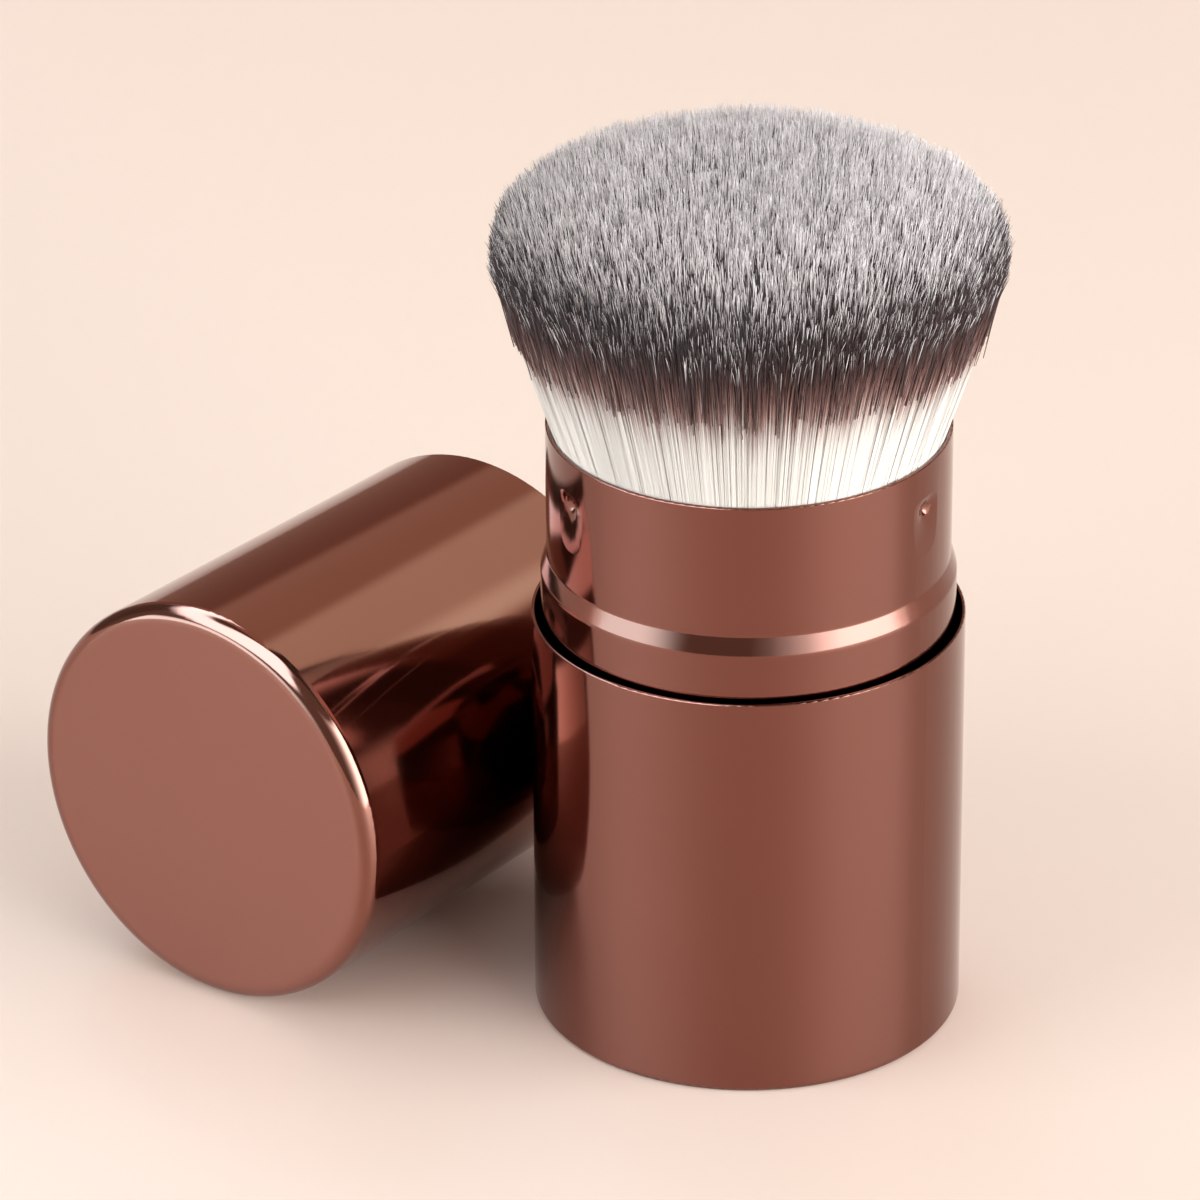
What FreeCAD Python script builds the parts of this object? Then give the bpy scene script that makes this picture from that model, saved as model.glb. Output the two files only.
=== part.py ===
import FreeCAD, Part
import math
import os

from FreeCAD import Vector

os.makedirs("parts", exist_ok=True)

# Retractable kabuki brush, standing on its base tube, with its cap lying beside it.
# Millimetres, Z up, origin at the centre of the tube's underside.

# base tube: a drawn aluminium cup, open at the top
tube_outside_r = 18.5
tube_wall = 0.3
tube_floor = 0.5
tube_height = 37.1
tube_bottom_round = 0.4
tube_inside_round = 0.3
rim_round = 0.1

# steel weight stuck to the tube's floor
tape_thickness = 0.3
tape_margin = 1.5
weight_thickness = 2.0
weight_side_gap = 0.3
weight_edge_round = 0.3

# cap: a drawn aluminium cup that slides into the tube's mouth, over the ferrule; it narrows towards its rim
cap_length = 39.9
cap_draft_degrees = 0.6
cap_wall = 0.2
cap_end_thickness = 0.5
cap_edge_round = 1.47
cap_outer_clearance = 0.27
cap_inner_clearance = 0.03

# where the cap lies: on its side, pointing along Y, clear of the tube
cap_gap_to_tube = 0.42
cap_closed_end_y = -28.77

# ferrule: a thin aluminium shell with a straight collar, a conical shoulder and a wider skirt
ferrule_wall = 0.35
collar_step = 0.5
collar_rim_z = 54.6
shoulder_top_z = 42.8
shoulder_height = 1.65
shoulder_foot_round = 1.0
shoulder_neck_round = 0.6

# three crimp marks that lock the collar on the bristle cup
crimp_count = 3
crimp_first_angle = 5.3
crimp_below_rim = 4.1
crimp_half_width = 2.4
crimp_reach_up = 1.5
crimp_reach_down = 5.0
crimp_depth = 0.3
punch_radius = 1.0
punch_depth = 0.3
crimp_skin = 0.02
crimp_columns = 17
crimp_rows = 25

# slide inside the tube
collar_left_showing = 1.5
landing_gap = 0.4
stop_gap = 0.3
running_clearance = 0.05
foot_height = 2.6
sleeve_height = 4.0
friction_ring_section_r = 0.6
friction_ring_groove_gap = 0.05

# bristle cup: the plastic core of the ferrule
cup_wall = 1.2
cup_below_rim = 2.0
cup_pocket_depth = 9.0
cup_floor_thickness = 1.5
cup_spigot_step = 1.0
shoulder_gap = 0.3

# bristles, set in resin in the cup's pocket
glue_depth = 3.0
glue_side_gap = 0.02
tuft_side_gap = 0.1
tuft_belly_r = 21.7
tuft_belly_z = 69.7
tuft_crown_z = 77.6
tuft_crown_power_r = 3.2
tuft_crown_power_z = 3.0
tuft_crown_points = 14

# sizes that follow from those above
tube_bore_r = tube_outside_r - tube_wall
cap_draft = math.radians(cap_draft_degrees)
cap_rim_r = tube_bore_r - cap_outer_clearance
cap_rim_bore_r = cap_rim_r - cap_wall
cap_end_r = cap_rim_r + cap_length * math.tan(cap_draft)
cap_end_bore_r = cap_rim_bore_r + (cap_length - cap_end_thickness) * math.tan(cap_draft)
skirt_r = cap_rim_bore_r - cap_inner_clearance
skirt_bore_r = skirt_r - ferrule_wall
collar_r = skirt_r - collar_step
collar_bore_r = collar_r - ferrule_wall
shoulder_bottom_z = shoulder_top_z - shoulder_height
tape_top_z = tube_floor + tape_thickness
weight_top_z = tape_top_z + weight_thickness
weight_r = tube_bore_r - weight_side_gap
brush_travel = collar_rim_z - tube_height - collar_left_showing
foot_bottom_z = weight_top_z + landing_gap + brush_travel
foot_top_z = foot_bottom_z + foot_height
sleeve_bottom_z = foot_top_z + stop_gap
sleeve_top_z = sleeve_bottom_z + sleeve_height
foot_outside_r = tube_bore_r - running_clearance
spigot_r = skirt_bore_r - cup_spigot_step
cup_top_z = collar_rim_z - cup_below_rim
pocket_floor_z = cup_top_z - cup_pocket_depth
pocket_r = collar_bore_r - cup_wall
glue_top_z = pocket_floor_z + glue_depth


def corner_path(corners):
    """Lines around the given (radius, height, rounding) corners, with an arc at each rounded one."""
    points = [Vector(radius, 0, height) for radius, height, rounding in corners]
    starts = []
    ends = []
    arcs = []
    for index, (radius, height, rounding) in enumerate(corners):
        here = points[index]
        to_last = points[index - 1] - here
        to_next = points[(index + 1) % len(points)] - here
        to_last.normalize()
        to_next.normalize()
        if rounding == 0:
            starts.append(here)
            ends.append(here)
            arcs.append(None)
            continue
        half_angle = to_last.getAngle(to_next) / 2
        reach = rounding / math.tan(half_angle)
        inward = to_last + to_next
        inward.normalize()
        middle = here + inward * (rounding / math.sin(half_angle) - rounding)
        starts.append(here + to_last * reach)
        ends.append(here + to_next * reach)
        arcs.append(Part.Arc(starts[-1], middle, ends[-1]).toShape())
    edges = []
    for index in range(len(points)):
        if arcs[index]:
            edges.append(arcs[index])
        edges.append(Part.makeLine(ends[index], starts[(index + 1) % len(points)]))
    return edges


def turned(edges):
    """Solid of revolution about Z from a closed outline in the XZ plane."""
    outline = Part.Face(Part.Wire(edges))
    return outline.revolve(Vector(0, 0, 0), Vector(0, 0, 1), 360)


def turned_corners(corners):
    return turned(corner_path(corners))


def make_outer_tube():
    return turned_corners([
        (0, 0, 0),
        (tube_outside_r, 0, tube_bottom_round),
        (tube_outside_r, tube_height, rim_round),
        (tube_bore_r, tube_height, rim_round),
        (tube_bore_r, tube_floor, tube_inside_round),
        (0, tube_floor, 0),
    ])


def make_weight_tape():
    tape_r = weight_r - tape_margin
    return Part.makeCylinder(tape_r, tape_thickness, Vector(0, 0, tube_floor))


def make_base_weight():
    return turned_corners([
        (0, tape_top_z, 0),
        (weight_r, tape_top_z, weight_edge_round),
        (weight_r, weight_top_z, weight_edge_round),
        (0, weight_top_z, 0),
    ])


def make_guide_sleeve():
    """Thin bush in the tube: it guides the skirt, stops the foot below it and the cap's rim above it."""
    sleeve_bore_r = skirt_r + running_clearance
    return turned_corners([
        (sleeve_bore_r, sleeve_bottom_z, 0),
        (tube_bore_r, sleeve_bottom_z, 0),
        (tube_bore_r, sleeve_top_z, 0),
        (sleeve_bore_r, sleeve_top_z, 0),
    ])


def make_cap_shell():
    cup = turned_corners([
        (0, 0, 0),
        (cap_end_r, 0, cap_edge_round),
        (cap_rim_r, cap_length, rim_round),
        (cap_rim_bore_r, cap_length, rim_round),
        (cap_end_bore_r, cap_end_thickness, cap_edge_round - cap_wall),
        (0, cap_end_thickness, 0),
    ])
    # laid down and tipped by its draft, so that it rests along its whole length
    cup.rotate(Vector(0, 0, 0), Vector(1, 0, 0), -90 - cap_draft_degrees)
    axis_x = -(tube_outside_r + cap_gap_to_tube + cap_end_r)
    cup.translate(Vector(axis_x, cap_closed_end_y, cap_end_r * math.cos(cap_draft)))
    return cup


def crimp_depth_at(across, along):
    """Depth of a crimp mark at a place measured from its punch point: a long soft dent with a small deep spot."""
    reach = crimp_reach_up if along > 0 else crimp_reach_down
    soft = 0
    if abs(across) < crimp_half_width and abs(along) < reach:
        sideways = math.cos(math.pi / 2 * across / crimp_half_width) ** 2
        soft = crimp_depth * sideways * math.cos(math.pi / 2 * along / reach) ** 2
    spot = math.hypot(across, along)
    if spot < punch_radius:
        soft += punch_depth * math.cos(math.pi / 2 * spot / punch_radius) ** 2
    return soft


def make_crimp_tool(angle, depth_below):
    """Solid whose inner face is the dented skin of the collar, set in by depth_below."""
    out = Vector(math.cos(math.radians(angle)), math.sin(math.radians(angle)), 0)
    side = Vector(-out.y, out.x, 0)
    punch_z = collar_rim_z - crimp_below_rim
    low = -crimp_reach_down - punch_radius
    high = crimp_reach_up + punch_radius
    wide = crimp_half_width + punch_radius
    grid = []
    for column in range(crimp_columns):
        across = wide * (2 * column / (crimp_columns - 1) - 1)
        line = []
        for row in range(crimp_rows):
            along = low + (high - low) * row / (crimp_rows - 1)
            skin_r = math.sqrt(collar_r ** 2 - across ** 2) + crimp_skin - crimp_depth_at(across, along)
            line.append(out * (skin_r - depth_below) + side * across + Vector(0, 0, punch_z + along))
        grid.append(line)
    skin = Part.BSplineSurface()
    skin.interpolate(grid)
    return skin.toShape().extrude(out * (collar_step + 2 * ferrule_wall + crimp_depth + punch_depth))


def crimp_angles():
    return [crimp_first_angle + 360 / crimp_count * index for index in range(crimp_count)]


def make_ferrule():
    shell = turned_corners([
        (skirt_r, foot_top_z, 0),
        (skirt_r, shoulder_bottom_z, shoulder_foot_round),
        (collar_r, shoulder_top_z, shoulder_neck_round),
        (collar_r, collar_rim_z, rim_round),
        (collar_bore_r, collar_rim_z, rim_round),
        (collar_bore_r, shoulder_top_z - ferrule_wall, 0),
        (skirt_bore_r, shoulder_bottom_z - ferrule_wall, 0),
        (skirt_bore_r, foot_top_z, 0),
    ])
    bore = Part.makeCylinder(collar_bore_r + crimp_skin, collar_rim_z)
    for angle in crimp_angles():
        backing = make_crimp_tool(angle, ferrule_wall).common(bore)
        shell = shell.fuse(backing)
    for angle in crimp_angles():
        shell = shell.cut(make_crimp_tool(angle, 0))
    return shell


def make_bristle_cup():
    """Core of the ferrule: a pocket for the bristles above, a hollow stem below with a spigot for the foot."""
    stem_top_z = shoulder_bottom_z - ferrule_wall - shoulder_gap
    floor_bottom_z = pocket_floor_z - cup_floor_thickness
    stem_bore_r = spigot_r - cup_wall
    cup = turned_corners([
        (0, floor_bottom_z, 0),
        (stem_bore_r, floor_bottom_z, 0),
        (stem_bore_r, foot_bottom_z, 0),
        (spigot_r, foot_bottom_z, 0),
        (spigot_r, foot_top_z, 0),
        (skirt_bore_r, foot_top_z, 0),
        (skirt_bore_r, stem_top_z, 0),
        (collar_bore_r, stem_top_z, 0),
        (collar_bore_r, cup_top_z, 0),
        (pocket_r, cup_top_z, 0),
        (pocket_r, pocket_floor_z, 0),
        (0, pocket_floor_z, 0),
    ])
    for angle in crimp_angles():
        cup = cup.cut(make_crimp_tool(angle, ferrule_wall))
    return cup


def make_foot_ring():
    """Ring on the cup's spigot: wider than the sleeve's bore, so that the brush can't be pulled out."""
    groove_half = friction_ring_section_r + friction_ring_groove_gap
    groove_bottom_r = foot_outside_r - 2 * friction_ring_section_r - friction_ring_groove_gap
    middle_z = foot_bottom_z + foot_height / 2
    return turned_corners([
        (spigot_r, foot_bottom_z, 0),
        (foot_outside_r, foot_bottom_z, rim_round),
        (foot_outside_r, middle_z - groove_half, 0),
        (groove_bottom_r, middle_z - groove_half, 0),
        (groove_bottom_r, middle_z + groove_half, 0),
        (foot_outside_r, middle_z + groove_half, 0),
        (foot_outside_r, foot_top_z, rim_round),
        (spigot_r, foot_top_z, 0),
    ])


def make_friction_ring():
    """Rubber ring in the foot's groove: it drags on the tube and holds the brush where it is put."""
    middle_z = foot_bottom_z + foot_height / 2
    return Part.makeTorus(foot_outside_r - friction_ring_section_r, friction_ring_section_r, Vector(0, 0, middle_z))


def make_glue_plug():
    return Part.makeCylinder(pocket_r - glue_side_gap, glue_depth, Vector(0, 0, pocket_floor_z))


def make_bristle_tuft():
    """Outer shape of the bristles: gathered in the cup, flared above the collar, with a low round crown."""
    root_r = pocket_r - tuft_side_gap
    neck_r = collar_bore_r - tuft_side_gap
    neck_low_z = cup_top_z + tuft_side_gap
    crown = []
    for index in range(tuft_crown_points):
        turn = math.pi / 2 * index / (tuft_crown_points - 1)
        radius = tuft_belly_r * abs(math.cos(turn)) ** (2 / tuft_crown_power_r)
        height = (tuft_crown_z - tuft_belly_z) * math.sin(turn) ** (2 / tuft_crown_power_z)
        crown.append(Vector(radius, 0, tuft_belly_z + height))
    crown[-1].x = 0
    crown_line = Part.BSplineCurve()
    crown_line.interpolate(crown)
    corners = [
        crown[-1],
        Vector(0, 0, glue_top_z),
        Vector(root_r, 0, glue_top_z),
        Vector(root_r, 0, neck_low_z),
        Vector(neck_r, 0, neck_low_z),
        Vector(neck_r, 0, collar_rim_z),
        crown[0],
    ]
    edges = [Part.makeLine(first, second) for first, second in zip(corners[:-1], corners[1:])]
    return turned(edges + [crown_line.toShape()])


nodes = {
    "outer_tube": make_outer_tube(),
    "weight_tape": make_weight_tape(),
    "base_weight": make_base_weight(),
    "guide_sleeve": make_guide_sleeve(),
    "ferrule": make_ferrule(),
    "bristle_cup": make_bristle_cup(),
    "foot_ring": make_foot_ring(),
    "friction_ring": make_friction_ring(),
    "glue_plug": make_glue_plug(),
    "bristle_tuft": make_bristle_tuft(),
    "cap_shell": make_cap_shell(),
}

for name, shape in nodes.items():
    shape.exportStep("parts/" + name + ".step")
    box = shape.BoundBox
    print(name, shape.isValid(), len(shape.Solids), round(shape.Volume, 2), round(box.ZMin, 2), round(box.ZMax, 2))
print("brush travel", round(brush_travel, 3), "sleeve top", round(sleeve_top_z, 3))
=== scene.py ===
import math

import bpy
import numpy as np
from mathutils import Matrix, Vector


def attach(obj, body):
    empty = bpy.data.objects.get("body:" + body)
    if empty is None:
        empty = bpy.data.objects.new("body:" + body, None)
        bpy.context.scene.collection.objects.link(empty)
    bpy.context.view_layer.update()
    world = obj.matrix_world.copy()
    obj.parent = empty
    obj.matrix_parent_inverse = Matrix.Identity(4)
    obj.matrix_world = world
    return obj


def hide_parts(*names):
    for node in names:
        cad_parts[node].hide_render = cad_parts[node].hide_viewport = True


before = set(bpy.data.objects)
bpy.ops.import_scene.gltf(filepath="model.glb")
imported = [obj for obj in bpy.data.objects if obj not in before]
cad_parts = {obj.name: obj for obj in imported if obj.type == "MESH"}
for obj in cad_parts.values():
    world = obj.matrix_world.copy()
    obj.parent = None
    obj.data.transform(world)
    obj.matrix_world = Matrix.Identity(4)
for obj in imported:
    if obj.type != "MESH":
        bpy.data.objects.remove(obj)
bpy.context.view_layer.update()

MM = 0.001

# The photograph's own frame: X to the right, Y away from the camera, Z up.
# The row frame is turned from it about Z.
PHOTO_TURN = math.radians(36.91)
TURN = Matrix.Rotation(PHOTO_TURN, 4, "Z")


def place(x, y, z):
    """A point in the photograph's frame, in millimetres, as a point in the row frame, in metres."""
    return TURN @ (Vector((x, y, z)) * MM)


# Camera, fitted to the photograph
CAMERA_ELEVATION = math.radians(26.667)
CAMERA_ROLL = math.radians(-0.337)
CAMERA_EYE = (-12.638, -567.637, 322.800)
FOCAL_LENGTH_PX = 7457.37
PHOTO_WIDTH_PX = 1200
SENSOR_WIDTH = 36

back = Vector((0, -math.cos(CAMERA_ELEVATION), math.sin(CAMERA_ELEVATION)))
level_right = Vector((1, 0, 0))
level_up = back.cross(level_right)
right = level_right * math.cos(CAMERA_ROLL) + level_up * math.sin(CAMERA_ROLL)
up = level_up * math.cos(CAMERA_ROLL) - level_right * math.sin(CAMERA_ROLL)
axes = Matrix((right, up, back)).transposed().to_4x4()
camera_data = bpy.data.cameras.new("camera")
camera_data.sensor_fit = "HORIZONTAL"
camera_data.sensor_width = SENSOR_WIDTH
camera_data.lens = FOCAL_LENGTH_PX / PHOTO_WIDTH_PX * SENSOR_WIDTH
camera_data.clip_start = 0.01
camera_data.clip_end = 20
camera = bpy.data.objects.new("camera", camera_data)
camera.matrix_world = Matrix.Translation(place(*CAMERA_EYE)) @ TURN @ axes
bpy.context.scene.collection.objects.link(camera)
bpy.context.scene.camera = camera


# Materials
class Nodes:
    """A material's node tree, with short calls for adding and linking nodes."""

    def __init__(self, name):
        self.material = bpy.data.materials.new(name)
        self.material.use_nodes = True
        self.tree = self.material.node_tree
        self.shader = self.tree.nodes["Principled BSDF"]

    def set(self, **values):
        for key, value in values.items():
            self.shader.inputs[key.replace("_", " ")].default_value = value

    def add(self, kind, **settings):
        node = self.tree.nodes.new(kind)
        for key, value in settings.items():
            setattr(node, key, value)
        return node

    def link(self, source, target):
        self.tree.links.new(source, target)

    def feed(self, socket, value):
        """Links a socket to another node's output, or sets it to a colour or a number."""
        if isinstance(value, bpy.types.NodeSocket):
            self.link(value, socket)
        elif isinstance(value, tuple):
            socket.default_value = value + (1,)
        else:
            socket.default_value = value

    def colour(self, source):
        self.link(source, self.shader.inputs["Base Color"])

    def math(self, operation, *values):
        node = self.add("ShaderNodeMath", operation=operation)
        for socket, value in zip(node.inputs, values):
            self.feed(socket, value)
        return node.outputs[0]

    def mix(self, factor, a, b, blend_type="MIX"):
        node = self.add("ShaderNodeMix", data_type="RGBA", blend_type=blend_type)
        for socket, value in ((node.inputs["Factor"], factor), (node.inputs[6], a), (node.inputs[7], b)):
            self.feed(socket, value)
        return node.outputs[2]

    def noise(self, scale, stretch=(1, 1, 1), detail=3):
        place_in = self.add("ShaderNodeTexCoord")
        mapping = self.add("ShaderNodeMapping")
        mapping.inputs["Scale"].default_value = stretch
        self.link(place_in.outputs["Object"], mapping.inputs["Vector"])
        node = self.add("ShaderNodeTexNoise")
        node.inputs["Scale"].default_value = scale
        node.inputs["Detail"].default_value = detail
        self.link(mapping.outputs[0], node.inputs["Vector"])
        return node.outputs["Fac"]

    def ramp(self, factor, stops):
        node = self.add("ShaderNodeValToRGB")
        elements = node.color_ramp.elements
        while len(elements) < len(stops):
            elements.new(0.5)
        for element, (position, colour) in zip(elements, stops):
            element.position = position
            element.color = colour + (1,)
        self.link(factor, node.inputs[0])
        return node.outputs[0]

    def roughness(self, variation, lowest, spread):
        """Roughness from lowest upwards, by how far the variation takes it."""
        varied = self.math("ADD", self.math("MULTIPLY", variation, spread), lowest)
        self.link(varied, self.shader.inputs["Roughness"])

    def bump(self, height, distance):
        node = self.add("ShaderNodeBump")
        node.inputs["Distance"].default_value = distance
        self.link(height, node.inputs["Height"])
        self.link(node.outputs[0], self.shader.inputs["Normal"])


BRONZE = (0.196, 0.074, 0.055)
BRONZE_CAP = (0.238, 0.093, 0.068)
BRONZE_CLOUD = 1.065
BRONZE_CLOUD_SCALE = 90
BRONZE_GRAIN_SCALE = 1400
BRONZE_GRAIN_DEPTH = 0.001 * MM
SPOT_DEPTH = 0.02 * MM
BLACK_PLASTIC = ((0.012, 0.012, 0.013), (0.022, 0.021, 0.021), 0.45, 700)


def bronze(name, colour):
    """Anodised aluminium: a polished metal with a faint grain."""
    m = Nodes(name)
    m.set(Metallic=1.0)
    cloud = m.noise(BRONZE_CLOUD_SCALE, detail=4)
    m.colour(m.mix(cloud, colour, tuple(BRONZE_CLOUD * c for c in colour)))
    grain = m.noise(BRONZE_GRAIN_SCALE, detail=2)
    m.roughness(grain, lowest=0.07, spread=0.04)
    m.bump(grain, BRONZE_GRAIN_DEPTH)
    return m.material


def plain(name, colour, second, roughness, scale, metallic=0.0):
    """A material of the inner pieces: two near colours in fine spots, which also roughen it."""
    m = Nodes(name)
    m.set(Metallic=metallic)
    spots = m.noise(scale, detail=4)
    m.colour(m.mix(spots, colour, second))
    m.roughness(spots, lowest=roughness, spread=0.15)
    m.bump(spots, SPOT_DEPTH)
    return m.material


FINISH = {
    "outer_tube": bronze("bronze_tube", BRONZE),
    "ferrule": bronze("bronze_ferrule", BRONZE),
    "cap_shell": bronze("bronze_cap", BRONZE_CAP),
    "guide_sleeve": plain("black_plastic", *BLACK_PLASTIC),
    "foot_ring": plain("black_plastic_foot", *BLACK_PLASTIC),
    "friction_ring": plain("black_rubber", (0.010, 0.010, 0.010), (0.020, 0.020, 0.020), 0.7, 1200),
    "bristle_cup": plain("white_plastic", (0.72, 0.71, 0.68), (0.78, 0.77, 0.74), 0.4, 500),
    "glue_plug": plain("resin", (0.50, 0.42, 0.24), (0.62, 0.54, 0.34), 0.2, 300),
    "base_weight": plain("steel", (0.42, 0.42, 0.43), (0.55, 0.55, 0.56), 0.35, 800, metallic=1.0),
    "weight_tape": plain("foam_tape", (0.62, 0.62, 0.58), (0.74, 0.74, 0.70), 0.8, 1500),
}
for node_name, material in FINISH.items():
    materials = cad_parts[node_name].data.materials
    materials.clear()
    materials.append(material)


# Meshes
def mesh_object(name, vertices, faces, corner_uv, material, normals=None):
    """A mesh from arrays: faces are all quads, or quads with their last corner repeated for a triangle."""
    mesh = bpy.data.meshes.new(name)
    sizes = np.where(faces[:, 2] == faces[:, 3], 3, 4)
    keep = np.ones(faces.shape, bool)
    keep[sizes == 3, 3] = False
    corners = faces[keep]
    mesh.vertices.add(len(vertices))
    mesh.vertices.foreach_set("co", (vertices * MM).astype(np.float32).ravel())
    mesh.loops.add(len(corners))
    mesh.loops.foreach_set("vertex_index", corners.astype(np.int32))
    mesh.polygons.add(len(faces))
    starts = np.concatenate(([0], np.cumsum(sizes)[:-1]))
    mesh.polygons.foreach_set("loop_start", starts.astype(np.int32))
    mesh.polygons.foreach_set("loop_total", sizes.astype(np.int32))
    mesh.polygons.foreach_set("use_smooth", np.ones(len(faces), bool))
    if corner_uv is not None:
        layer = mesh.uv_layers.new(name="OFBake")
        layer.data.foreach_set("uv", corner_uv[keep].astype(np.float32).ravel())
    mesh.update(calc_edges=True)
    mesh.validate()
    if normals is not None:
        mesh.normals_split_custom_set_from_vertices(normals.tolist())
    mesh.materials.append(material)
    obj = bpy.data.objects.new(name, mesh)
    bpy.context.scene.collection.objects.link(obj)
    return obj


def revolved(name, radius, height, sectors, material):
    """A surface of revolution about Z. Its outline starts on the axis, and the last ring stays open."""
    angle = np.linspace(0, 2 * np.pi, sectors, endpoint=False)
    ring_x, ring_y = np.outer(radius[1:], np.cos(angle)), np.outer(radius[1:], np.sin(angle))
    vertices = np.stack([ring_x, ring_y, np.repeat(height[1:, None], sectors, 1)], 2)
    vertices = np.concatenate(([[0, 0, height[0]]], vertices.reshape(-1, 3)))
    index = np.arange(sectors)
    following = (index + 1) % sectors
    faces = [np.stack([np.zeros(sectors, int), 1 + index, 1 + following, 1 + following], 1)]
    for ring in range(len(radius) - 2):
        a = 1 + ring * sectors
        faces.append(np.stack([a + index, a + sectors + index, a + sectors + following, a + following], 1))
    return mesh_object(name, vertices, np.concatenate(faces), None, material)


# Bristles: the outline is that of the solid that they replace
TUFT_COLLAR_R = 16.75
TUFT_COLLAR_Z = 54.6
TUFT_BELLY_R = 21.7
TUFT_BELLY_Z = 69.7
TUFT_CROWN_Z = 77.6
TUFT_POWER_R = 3.2
TUFT_POWER_Z = 3.0
ROOT_Z = 50.0
ROOT_R = 15.2
ROOT_LAYER = 0.05
HEAD_CORNER = (-25, -25, 45)
HEAD_SPAN = 60
FIBRE_R = 0.048
FIBRE_WIDTHS = (0.8, 1.2)
TIP_WIDTH = 0.25
TAPER_REACH = 3.5
TAPER_POWER = 0.8
BEND_REACH = 4.0
CLUMP_SIZE = 1.1
CLUMP_BEND = 1.3
CLUMP_SINK = 0.25
rng = np.random.default_rng(7)

# a fibre's colours by distance from its untrimmed tip; each fibre takes one of the columns of chance
COLOUR_COLUMNS = 64
COLOUR_REACH = 26.0
V_EDGE = 0.01
U_STEP = 0.2
TIP_UV = (0.002, 0.004)
SHAFT_COLOURS = [
    (0.0, (0.048, 0.030, 0.028)),
    (6.0, (0.048, 0.027, 0.024)),
    (8.3, (0.092, 0.041, 0.034)),
    (9.7, (0.158, 0.073, 0.060)),
    (11.0, (0.26, 0.138, 0.114)),
    (12.2, (0.405, 0.275, 0.238)),
    (13.5, (0.60, 0.50, 0.45)),
    (15.0, (0.755, 0.68, 0.613)),
    (16.5, (0.81, 0.748, 0.677)),
    (COLOUR_REACH, (0.835, 0.773, 0.702)),
]
SHAFT_SPREAD = 3.2
SILVER = ((0.67, 0.612, 0.605), (0.90, 0.837, 0.827))
SILVER_END = (0.9, 2.9)
SILVER_SPREAD = 1.6

# the core's colours by height, from 0 at the collar to 1 at the belly
CORE_COLOURS = [
    (0.0, (0.86, 0.80, 0.735)),
    (0.28, (0.82, 0.755, 0.69)),
    (0.40, (0.66, 0.57, 0.515)),
    (0.48, (0.46, 0.36, 0.32)),
    (0.56, (0.27, 0.185, 0.167)),
    (0.64, (0.165, 0.098, 0.088)),
    (0.72, (0.10, 0.055, 0.050)),
    (0.81, (0.07, 0.038, 0.035)),
    (1.0, (0.05, 0.033, 0.031)),
]
CORE_WANDER = 0.30
CORE_STREAKS = (2600, 2600, 60)
CORE_FINE_STREAKS = (7000, 7000, 130)
# fine darker streaks on the core: partly the fibres' varied tone, partly painted shade in the gaps between
# packed fibres
CORE_STREAK_TONE_AND_SHADE = [(0.36, (0.84, 0.82, 0.80)), (0.56, (1.0, 1.0, 1.0))]
CORE_SINK_TOP = 1.5
CORE_SINK_BELLY = 1.0
CORE_SINK_HEIGHTS = (TUFT_COLLAR_Z, 60.0, 66.0, 69.0)
CORE_SINKS = (0.22, 0.45, 0.6, 0.9)
CORE_BELOW_COLLAR = 1.5

# the outer fibres, half of which end lower down; trim is how much of the tip each has lost
SIDE_COUNT = 11000
SIDE_TIP_Z, SIDE_TIP_SPREAD = 72.4, 0.9
LOW_TIP_SHARE = 0.5
LOW_TIP_Z, LOW_TIP_SPREAD = 71.5, 2.0
SIDE_TIP_LIMITS = (64.5, 75)
SIDE_DEPTH, LOW_DEPTH, DEPTH_POWER = 0.8, 0.3, 1.3
SIDE_TRIM, SIDE_TRIM_PER_MM, SIDE_TRIM_SPREAD = 2.5, 0.9, 1.7
SIDE_STATIONS = (0, 0.5, 1.5, 3.5, 6.5, 10.0, 14.0, 19.0)

# the fibres of the crown, with their density and their longest trim by radius
TOP_COUNT = 28000
TOP_DENSITY_RADII = (0, 14, 19.5, TUFT_BELLY_R)
TOP_DENSITIES = (1.0, 1.0, 0.8, 0.6)
TOP_TRIM_RADII = (15, 20, 21.2, TUFT_BELLY_R)
TOP_TRIMS = (0.3, 1.6, 2.6, 4.5)
TOP_SINK, TOP_SINK_LIMIT, TOP_LIFT = 0.4, 2.2, 0.1
TOP_STATIONS = (0, 0.5, 1.5, 3.5, 7.0)


def fibre_material():
    """Colour by distance from the tip: silver tip, dark shaft, brown, then cream at the root."""
    m = Nodes("bristle_fibre")
    place_in = m.add("ShaderNodeUVMap", uv_map="OFBake")
    split = m.add("ShaderNodeSeparateXYZ")
    m.link(place_in.outputs[0], split.inputs[0])
    column = m.math("FLOOR", m.math("MULTIPLY", split.outputs[0], COLOUR_COLUMNS))
    chance = m.add("ShaderNodeTexWhiteNoise", noise_dimensions="1D")
    m.link(column, chance.inputs["W"])
    chances = m.add("ShaderNodeSeparateColor")
    m.link(chance.outputs["Color"], chances.inputs[0])
    v = m.math("DIVIDE", m.math("SUBTRACT", split.outputs[1], V_EDGE), 1 - 2 * V_EDGE)

    def shifted(chance_part, spread):
        """The distance along the fibre, moved by this fibre's own chance."""
        shift = m.math("MULTIPLY", m.math("SUBTRACT", chance_part, 0.5), spread / COLOUR_REACH)
        return m.math("ADD", v, shift)

    shaft_stops = [(distance / COLOUR_REACH, colour) for distance, colour in SHAFT_COLOURS]
    shaft = m.ramp(shifted(chances.outputs[0], SHAFT_SPREAD), shaft_stops)
    tip = m.ramp(shifted(chances.outputs[1], SILVER_SPREAD), [
        (0.0, (1, 1, 1)),
        (SILVER_END[0] / COLOUR_REACH, (1, 1, 1)),
        (SILVER_END[1] / COLOUR_REACH, (0, 0, 0)),
    ])
    m.colour(m.mix(tip, shaft, m.mix(chances.outputs[2], *SILVER)))
    m.set(Roughness=0.5, Specular_IOR_Level=0.12)
    return m.material


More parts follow.
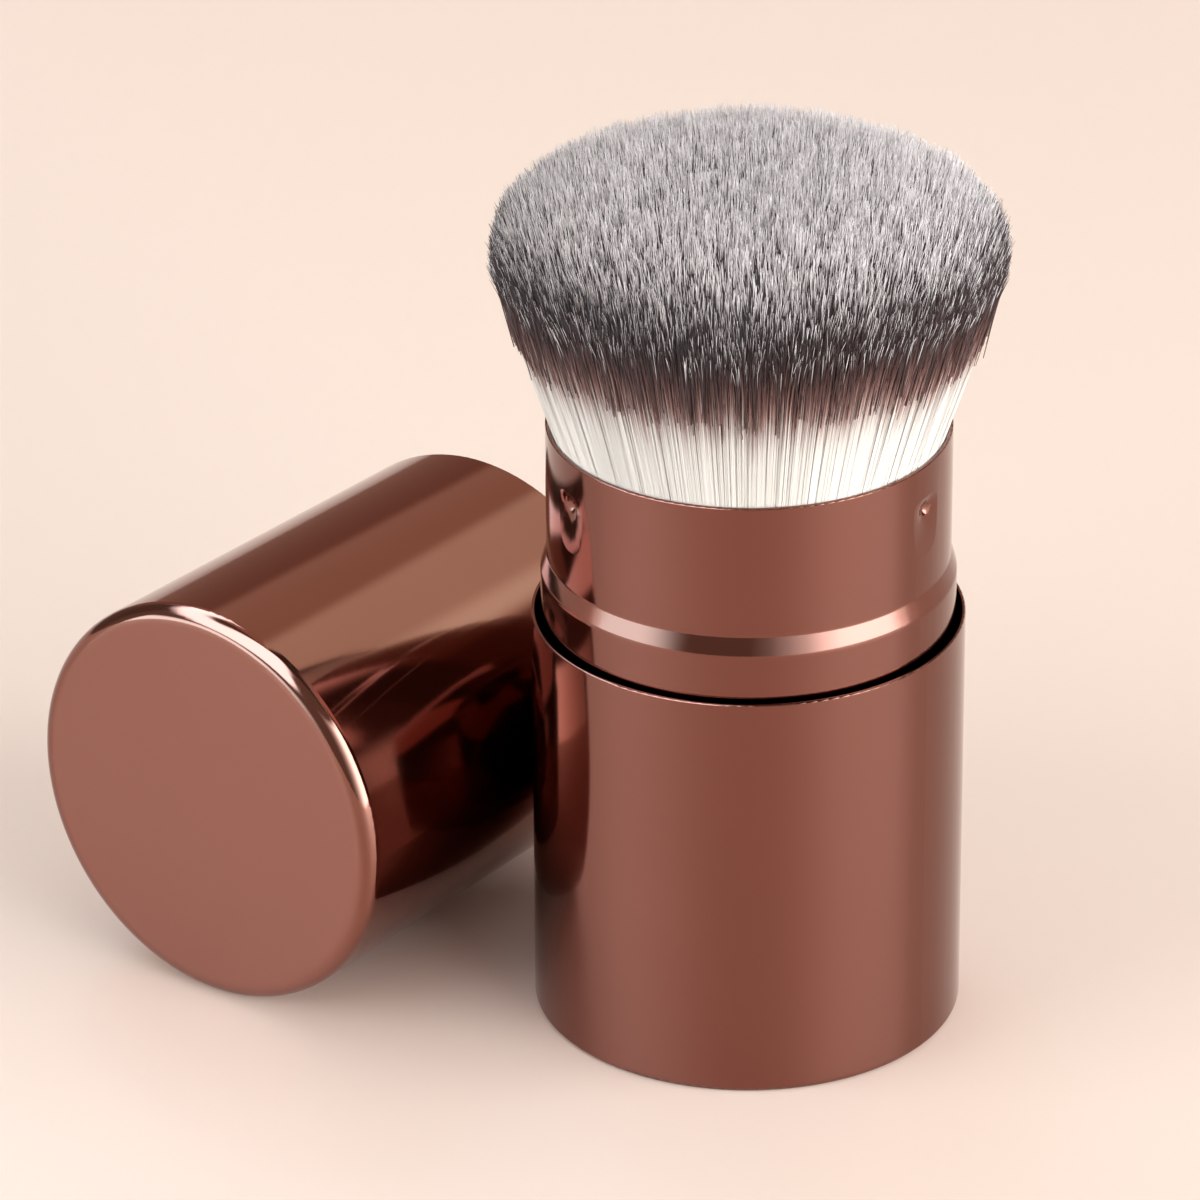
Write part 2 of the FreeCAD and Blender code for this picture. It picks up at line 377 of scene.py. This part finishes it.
def core_material():
    """Packed fibres seen between the outer ones, coloured by height, with fine darker streaks along the
    fibres: partly their own varied tone, partly painted shade in the gaps between them.
    """
    m = Nodes("bristle_core")
    place_in = m.add("ShaderNodeTexCoord")
    split = m.add("ShaderNodeSeparateXYZ")
    m.link(place_in.outputs["Object"], split.inputs[0])
    streak = m.noise(1.0, stretch=CORE_STREAKS, detail=2)
    wander = m.math("MULTIPLY", m.math("SUBTRACT", streak, 0.5), CORE_WANDER)
    above_collar = m.math("SUBTRACT", split.outputs[2], TUFT_COLLAR_Z * MM)
    height = m.math("DIVIDE", above_collar, (TUFT_BELLY_Z - TUFT_COLLAR_Z) * MM)
    colour = m.ramp(m.math("ADD", height, wander), CORE_COLOURS)
    # painted shade between packed fibres, mixed with their varied tone, multiplied over the colour by height
    streak_tone_and_shade = m.ramp(m.noise(1.0, stretch=CORE_FINE_STREAKS, detail=2), CORE_STREAK_TONE_AND_SHADE)
    m.colour(m.mix(1.0, colour, streak_tone_and_shade, blend_type="MULTIPLY"))
    m.set(Roughness=0.7, Specular_IOR_Level=0.12)
    m.bump(streak, SPOT_DEPTH)
    return m.material


def crown_line(count, belly_r, belly_z, crown_z):
    """Radius and height from the crown's top to its widest place."""
    turn = np.linspace(np.pi / 2, 0, count)
    radius = belly_r * np.abs(np.cos(turn)) ** (2 / TUFT_POWER_R)
    radius[0] = 0
    return radius, belly_z + (crown_z - belly_z) * np.sin(turn) ** (2 / TUFT_POWER_Z)


def side_radius(z):
    """Radius of the head's straight side, from the collar to the belly."""
    slope = (TUFT_BELLY_R - TUFT_COLLAR_R) / (TUFT_BELLY_Z - TUFT_COLLAR_Z)
    return TUFT_COLLAR_R + (z - TUFT_COLLAR_Z) * slope


def on_profile(count, radius, height, weight):
    """Random places along an outline of revolution, spread by area and weight."""
    step = np.hypot(np.diff(radius), np.diff(height))
    share = step * (radius[1:] + radius[:-1]) / 2 * weight
    total = np.concatenate(([0], np.cumsum(share)))
    index = np.arange(len(radius))
    place_at = np.interp(rng.uniform(0, total[-1], count), total, index)
    return np.interp(place_at, index, radius), np.interp(place_at, index, height)


def polar(radius, angle, height):
    return np.stack([radius * np.cos(angle), radius * np.sin(angle), height], 1)


def unit(vectors):
    return vectors / np.linalg.norm(vectors, axis=1, keepdims=True)


def clump_field(points, cell, parts):
    """Smooth random values over the head, alike for fibres that stand close together."""
    grid = rng.normal(size=(int(HEAD_SPAN / cell),) * 3 + (parts,))
    where = (points - HEAD_CORNER) / cell
    low = np.floor(where).astype(int)
    part = where - low
    total = np.zeros((len(points), parts))
    for corner in np.ndindex(2, 2, 2):
        share = np.prod(np.where(corner, part, 1 - part), axis=1)
        index = (low + corner) % len(grid)
        total += share[:, None] * grid[index[:, 0], index[:, 1], index[:, 2]]
    return total


def fibre_uv(start, stations):
    """Each fibre's colour column by chance, and its place along the colours at every station."""
    column = rng.integers(0, COLOUR_COLUMNS, len(start))
    along = np.minimum(1, (start[:, None] + np.array(stations)) / COLOUR_REACH)
    return column, V_EDGE + (1 - 2 * V_EDGE) * along


def fibre_mesh(name, tips, roots, bend, start, stations, softness, material):
    """Three-sided tapering fibres, each running from its tip towards its root, cut off at the last station.

    start says how far from an untrimmed tip each fibre's colours begin. softness turns the shading towards
    that of the whole head, as light passes through real fibres."""
    count, rings = len(tips), len(stations)
    along = unit(roots - tips)
    side = unit(np.cross(along, rng.normal(size=(count, 3))))
    other = np.cross(along, side)
    width = FIBRE_R * rng.uniform(*FIBRE_WIDTHS, count)
    vertices = np.empty((count, rings, 3, 3))
    normals = np.empty((count, rings, 3, 3))
    outward = tips * (1, 1, 0) / np.linalg.norm(tips[:, :2], axis=1, keepdims=True).clip(1e-6)
    rise = ((tips[:, 2:] - TUFT_BELLY_Z) / (TUFT_CROWN_Z - TUFT_BELLY_Z)).clip(0, 1) ** 3
    outward = outward * (1 - rise) + np.array((0, 0, 1))
    for ring, distance in enumerate(stations):
        centre = tips + along * distance + bend * max(0, 1 - distance / BEND_REACH) ** 2
        radius = width * (TIP_WIDTH + (1 - TIP_WIDTH) * min(1, distance / TAPER_REACH) ** TAPER_POWER)
        for corner in range(3):
            angle = 2 * np.pi * corner / 3
            facing = side * np.cos(angle) + other * np.sin(angle)
            vertices[:, ring, corner] = centre + radius[:, None] * facing
            normals[:, ring, corner] = facing * (1 - softness) + outward * softness
    column, v = fibre_uv(start, stations)
    base = np.arange(count) * rings * 3
    faces, uv = [], []
    for ring in range(rings - 1):
        for corner in range(3):
            a, b = ring * 3 + corner, ring * 3 + (corner + 1) % 3
            faces.append(np.stack([base + a, base + b, base + b + 3, base + a + 3], 1))
            u0, u1 = ((column + U_STEP * (corner + step)) / COLOUR_COLUMNS for step in (1, 2))
            low, high = v[:, ring], v[:, ring + 1]
            corners = [np.stack(pair, 1) for pair in ((u0, low), (u1, low), (u1, high), (u0, high))]
            uv.append(np.stack(corners, 1))
    faces.append(np.stack([base, base + 2, base + 1, base + 1], 1))
    point = np.stack([(column + 0.5) / COLOUR_COLUMNS, v[:, 0]], 1)
    aside, onwards = (TIP_UV[0], 0), (0, TIP_UV[1])
    uv.append(np.stack([point - aside, point + aside, point + onwards, point], 1))
    normals = normals.reshape(-1, 3)
    normals /= np.linalg.norm(normals, axis=1, keepdims=True).clip(1e-6)
    mesh_parts = vertices.reshape(-1, 3), np.concatenate(faces), np.concatenate(uv)
    return mesh_object(name, *mesh_parts, material, normals)


FIBRE = fibre_material()
crown_r, crown_z = crown_line(160, TUFT_BELLY_R, TUFT_BELLY_Z, TUFT_CROWN_Z)


def grow(name, radius, height, layer, sink, start, root_scatter, lean, stations, softness, parts):
    """Fibres with their tips at these places, set in by layer and back along their length by sink."""
    count = len(radius)
    angle = rng.uniform(0, 2 * np.pi, count)
    root_r = ROOT_R * np.minimum(1, radius / side_radius(np.minimum(height, TUFT_BELLY_Z)))
    tips = polar(radius - layer, angle, height)
    roots = polar(root_r - ROOT_LAYER * layer, angle, np.full(count, ROOT_Z))
    roots[:, :2] += rng.normal(0, root_scatter, (count, 2))
    clump = clump_field(tips, CLUMP_SIZE, 4)
    along = unit(roots - tips)
    tips = tips + along * (sink + CLUMP_SINK * clump[:, 3].clip(-1, 2))[:, None]
    bend = lean * (rng.normal(size=(count, 3)) + CLUMP_BEND * clump[:, :3])
    bend -= along * np.sum(bend * along, axis=1, keepdims=True)
    pieces = []
    for part, chosen in enumerate(np.array_split(np.arange(count), parts)):
        places = tips[chosen], roots[chosen], bend[chosen], start[chosen]
        pieces.append(fibre_mesh(f"{name}_{part + 1}", *places, stations, softness, FIBRE))
    return pieces


def side_fibres():
    """The outer fibres, whose whole length shows; the lower their tips, the less silver is left on them."""
    z = SIDE_TIP_Z + rng.normal(0, SIDE_TIP_SPREAD, SIDE_COUNT)
    low_tips = rng.uniform(size=SIDE_COUNT) < LOW_TIP_SHARE
    low_z = LOW_TIP_Z - np.abs(rng.normal(0, LOW_TIP_SPREAD, SIDE_COUNT))
    z = np.where(low_tips, low_z, z).clip(*SIDE_TIP_LIMITS)
    radius = np.where(z > TUFT_BELLY_Z, np.interp(-z, -crown_z, crown_r), side_radius(z))
    layer = np.where(low_tips, LOW_DEPTH, SIDE_DEPTH) * rng.uniform(0, 1.0, SIDE_COUNT) ** DEPTH_POWER
    lost_below = (SIDE_TIP_Z - z).clip(0, None) * SIDE_TRIM_PER_MM
    start = SIDE_TRIM + lost_below + rng.uniform(0, SIDE_TRIM_SPREAD, SIDE_COUNT)
    return grow(
        "bristles_side", radius, z, layer, np.zeros(SIDE_COUNT), start,
        root_scatter=0.03, lean=0.12, stations=SIDE_STATIONS, softness=0.95, parts=3,
    )


def top_fibres():
    """The fibres of the crown, of which only the ends show; they thin out and darken towards its edge."""
    density = np.interp((crown_r[1:] + crown_r[:-1]) / 2, TOP_DENSITY_RADII, TOP_DENSITIES)
    radius, z = on_profile(TOP_COUNT, crown_r, crown_z, density)
    sink = rng.exponential(TOP_SINK, TOP_COUNT).clip(0, TOP_SINK_LIMIT) - TOP_LIFT
    start = rng.uniform(0, 1.0, TOP_COUNT) * np.interp(radius, TOP_TRIM_RADII, TOP_TRIMS)
    return grow(
        "bristles_top", radius, z, np.zeros(TOP_COUNT), sink, start,
        root_scatter=0.8, lean=0.16, stations=TOP_STATIONS, softness=0.3, parts=5,
    )


def core_object():
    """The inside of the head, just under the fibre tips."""
    belly_z = TUFT_BELLY_Z - CORE_SINK_TOP
    radius, height = crown_line(60, TUFT_BELLY_R - CORE_SINK_BELLY, belly_z, TUFT_CROWN_Z - CORE_SINK_TOP)
    low = np.linspace(belly_z, TUFT_COLLAR_Z - CORE_BELOW_COLLAR, 30)[1:]
    low_radius = side_radius(low) - np.interp(low, CORE_SINK_HEIGHTS, CORE_SINKS)
    outline = np.concatenate((radius, low_radius)), np.concatenate((height, low))
    return revolved("bristle_core", *outline, 160, core_material())


fibres = side_fibres() + top_fibres()
core = core_object()
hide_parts("bristle_tuft")
for piece in [core] + fibres:
    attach(piece, "brush")


# Stage: a pale floor with a low pale wall far round it
FLOOR_COLOUR = (0.93, 0.765, 0.66)
FLOOR_CLOUD = 0.985
FLOOR_RADIUS = np.array([0.0, 250, 1450, 1560, 1620, 1640, 1640])
FLOOR_HEIGHT = np.array([0.0, 0, 0, 15, 60, 140, 450])


def floor_object():
    m = Nodes("floor_paper")
    m.colour(m.mix(m.noise(6, detail=3), FLOOR_COLOUR, tuple(FLOOR_CLOUD * c for c in FLOOR_COLOUR)))
    m.set(Roughness=0.42, Specular_IOR_Level=0.5)
    return revolved("floor", FLOOR_RADIUS, FLOOR_HEIGHT, 96, m.material)


floor_object()

# Light. The sky is dimmer on the camera's side.
SKY_COLOUR = (1.0, 0.925, 0.875, 1)
SKY_BEHIND = 0.88
SKY_IN_FRONT = 0.22
LAMP_COLOUR = (0.975, 1.01, 1.04)


def sky():
    world = bpy.data.worlds.new("studio")
    world.use_nodes = True
    nodes, links = world.node_tree.nodes, world.node_tree.links
    background = nodes["Background"]
    background.inputs[0].default_value = SKY_COLOUR
    direction = nodes.new("ShaderNodeTexCoord")
    towards_front = nodes.new("ShaderNodeVectorMath")
    towards_front.operation = "DOT_PRODUCT"
    towards_front.inputs[1].default_value = TURN @ Vector((0, -1, 0))
    strength = nodes.new("ShaderNodeMapRange")
    limits = {"From Min": -1, "From Max": 1, "To Min": SKY_BEHIND, "To Max": SKY_IN_FRONT}
    for socket, value in limits.items():
        strength.inputs[socket].default_value = value
    links.new(direction.outputs["Generated"], towards_front.inputs[0])
    links.new(towards_front.outputs["Value"], strength.inputs["Value"])
    links.new(strength.outputs[0], background.inputs[1])
    bpy.context.scene.world = world


def around(azimuth, distance, height):
    """A place at an angle from the camera's side of the brush, positive to the right, in metres."""
    a = math.radians(azimuth)
    return (distance * math.sin(a), -distance * math.cos(a), height)


def softbox(name, azimuth, distance, width, height, radiance):
    """An upright lamp that stands on the floor and faces the brush; the dome stands in for its reflection."""
    data = bpy.data.lights.new(name, "AREA")
    data.shape = "RECTANGLE"
    data.size = width
    data.size_y = height
    data.energy = radiance * width * height * math.pi
    data.color = LAMP_COLOUR
    lamp = bpy.data.objects.new(name, data)
    start = place(*(v / MM for v in around(azimuth, distance, height / 2)))
    aim = Vector((0, 0, height / 2)) - start
    lamp.matrix_world = Matrix.Translation(start) @ aim.to_track_quat("-Z", "Y").to_matrix().to_4x4()
    lamp.visible_camera = False
    lamp.visible_glossy = False
    bpy.context.scene.collection.objects.link(lamp)


# What the polished metal mirrors, by direction in degrees: azimuth from the camera's side, positive to the
# right, and elevation. A pair is the start and the end of a soft edge.
SOFTBOX_RIGHT = (7.6, 11.0, 12.2)
RIGHT_AZIMUTHS = (0, 10, 20, 30, 40, 48, 56, 91, 92.5)
RIGHT_SHARES = (0, 0.05, 0.16, 0.34, 0.68, 0.94, 1, 1, 0)
RIGHT_TOP = (38, 44)
SOFTBOX_LEFT = (3.9, 6.8, 8.0)
LEFT_FROM, LEFT_TO = (-93, -91), (-62, -32)
LEFT_TOP = (8, 16)
OVERHEAD = (6.0, 9.2, 11.2)
OVERHEAD_AZIMUTHS = (
    -180, -169, -161, -150, -135, -115, -100, -93, -85, -78, -70, -60,
    -52, -35, -24, -7, 9, 25, 38, 60, 90, 140, 165, 180,
)
OVERHEAD_RIMS = (
    54, 46, 34, 36, 38, 38, 34, 30, 27, 20, 16, 18,
    22, 26, 36, 60, 68, 72, 75, 78, 80, 80, 66, 54,
)
RIM_FADE_BELOW, RIM_FADE_ABOVE = 3, 5
OVERHEAD_BACK, OVERHEAD_BACK_TOP = (80, 104), (53, 60)
ROOM_FRONT = (0.36, 0.31, 0.27)
ROOM_SIDE = (0.22, 0.18, 0.15)
RIGHT_HALF, BEHIND = (0, 1), (104, 112)
ROOM_BACK_LOW = (0.41, 0.225, 0.17)
ROOM_BACK = (0.78, 0.59, 0.46)
FAR_BACK, BACK_FOOT = (146, 154), (25, 29)
ROOM_BACK_RIGHT = (1.28, 1.34, 1.15)
BACK_RIGHT_TO = (152, 160)
ROOM_FAR_RIGHT = (1.8, 2.23, 2.02)
FAR_RIGHT_FROM, FAR_RIGHT_TO, FAR_RIGHT_FOOT = (94, 97), (116, 124), (28, 32)
ROOM_GAP = (0.12, 0.10, 0.08)
GAP_FROM, GAP_TO, GAP_FOOT = (55, 65), (138, 146), (47, 50)

# the dome that shows it, in degrees and metres; elevation is seen from the brush's middle
DOME_AZIMUTHS = np.arange(-180.0, 180.0, 1.5)
DOME_ELEVATIONS = np.arange(-2.0, 89.1, 1.3)
DOME_R = 1.3
DOME_CENTRE_Z = 0.042
DOME_LOWEST_Z = 0.001


def step_up(value, edge):
    """0 before the edge and 1 after it, with a smooth rise between its start and end."""
    low, high = edge
    t = ((value - low) / (high - low)).clip(0, 1)
    return t * t * (3 - 2 * t)


def step_down(value, edge):
    return 1 - step_up(value, edge)


def studio(azimuth, elevation):
    """The colour that the metal mirrors: two softboxes on the floor, one overhead, and a dim room."""
    aside = np.abs(azimuth)
    behind = step_up(aside, BEHIND)
    to_right = behind * step_up(azimuth, RIGHT_HALF)
    far_back = step_up(aside, FAR_BACK)
    over_foot = step_up(elevation, BACK_FOOT)
    far_right = step_up(azimuth, FAR_RIGHT_FROM) * step_down(azimuth, FAR_RIGHT_TO)
    gap = step_up(azimuth, GAP_FROM) * step_down(azimuth, GAP_TO)
    right = np.interp(azimuth, RIGHT_AZIMUTHS, RIGHT_SHARES)
    left = step_up(azimuth, LEFT_FROM) * step_down(azimuth, LEFT_TO)
    rim = np.interp(azimuth, OVERHEAD_AZIMUTHS, OVERHEAD_RIMS)
    overhead = step_up(elevation, (rim - RIM_FADE_BELOW, rim + RIM_FADE_ABOVE))
    back_cut = step_up(aside, OVERHEAD_BACK) * step_up(elevation, OVERHEAD_BACK_TOP)
    total = np.full(azimuth.shape + (3,), 0.0) + ROOM_FRONT
    for share, colour in (
        (behind, ROOM_SIDE),
        (far_back, ROOM_BACK_LOW),
        (to_right, ROOM_BACK_LOW),
        (far_back * over_foot, ROOM_BACK),
        (to_right * step_down(azimuth, BACK_RIGHT_TO) * over_foot, ROOM_BACK_RIGHT),
        (far_right * step_up(elevation, FAR_RIGHT_FOOT), ROOM_FAR_RIGHT),
        (gap * step_up(elevation, GAP_FOOT), ROOM_GAP),
        (right * step_down(elevation, RIGHT_TOP), SOFTBOX_RIGHT),
        (left * step_down(elevation, LEFT_TOP), SOFTBOX_LEFT),
        (overhead * (1 - back_cut), OVERHEAD),
    ):
        total = total * (1 - share[..., None]) + share[..., None] * np.array(colour)
    return total


def reflection_dome():
    """A dome round the stage that only shows as a reflection; lamps light the rest."""
    grid_az, grid_el = np.meshgrid(DOME_AZIMUTHS, DOME_ELEVATIONS)
    vertices = []
    for azimuth, elevation in zip(grid_az.ravel(), np.radians(grid_el.ravel())):
        height = max(DOME_CENTRE_Z + DOME_R * math.sin(elevation), DOME_LOWEST_Z)
        x, y, z = around(azimuth, DOME_R * math.cos(elevation), height)
        vertices.append(list(place(x / MM, y / MM, z / MM) / MM))
    columns = len(DOME_AZIMUTHS)
    index = np.arange(columns)
    following = (index + 1) % columns
    faces = []
    for row in range(len(DOME_ELEVATIONS) - 1):
        a = row * columns
        faces.append(np.stack([a + index, a + following, a + columns + following, a + columns + index], 1))
    m = Nodes("reflection_dome")
    glow = m.add("ShaderNodeAttribute", attribute_name="glow")
    m.set(Base_Color=(0, 0, 0, 1), Specular_IOR_Level=0.0, Emission_Strength=1.0)
    m.link(glow.outputs["Color"], m.shader.inputs["Emission Color"])
    obj = mesh_object("reflection_dome", np.array(vertices), np.concatenate(faces), None, m.material)
    colours = np.concatenate((studio(grid_az, grid_el).reshape(-1, 3), np.ones((len(vertices), 1))), 1)
    layer = obj.data.color_attributes.new("glow", "FLOAT_COLOR", "POINT")
    layer.data.foreach_set("color", colours.astype(np.float32).ravel())
    for kind in ("camera", "diffuse", "transmission", "shadow", "volume_scatter"):
        setattr(obj, "visible_" + kind, False)


sky()
reflection_dome()
softbox("key_right", azimuth=60, distance=1.2, width=1.68, height=0.72, radiance=7.9)
softbox("fill_left", azimuth=-70, distance=1.2, width=1.12, height=0.72, radiance=4.8)

bpy.context.scene.view_settings.view_transform = "Standard"
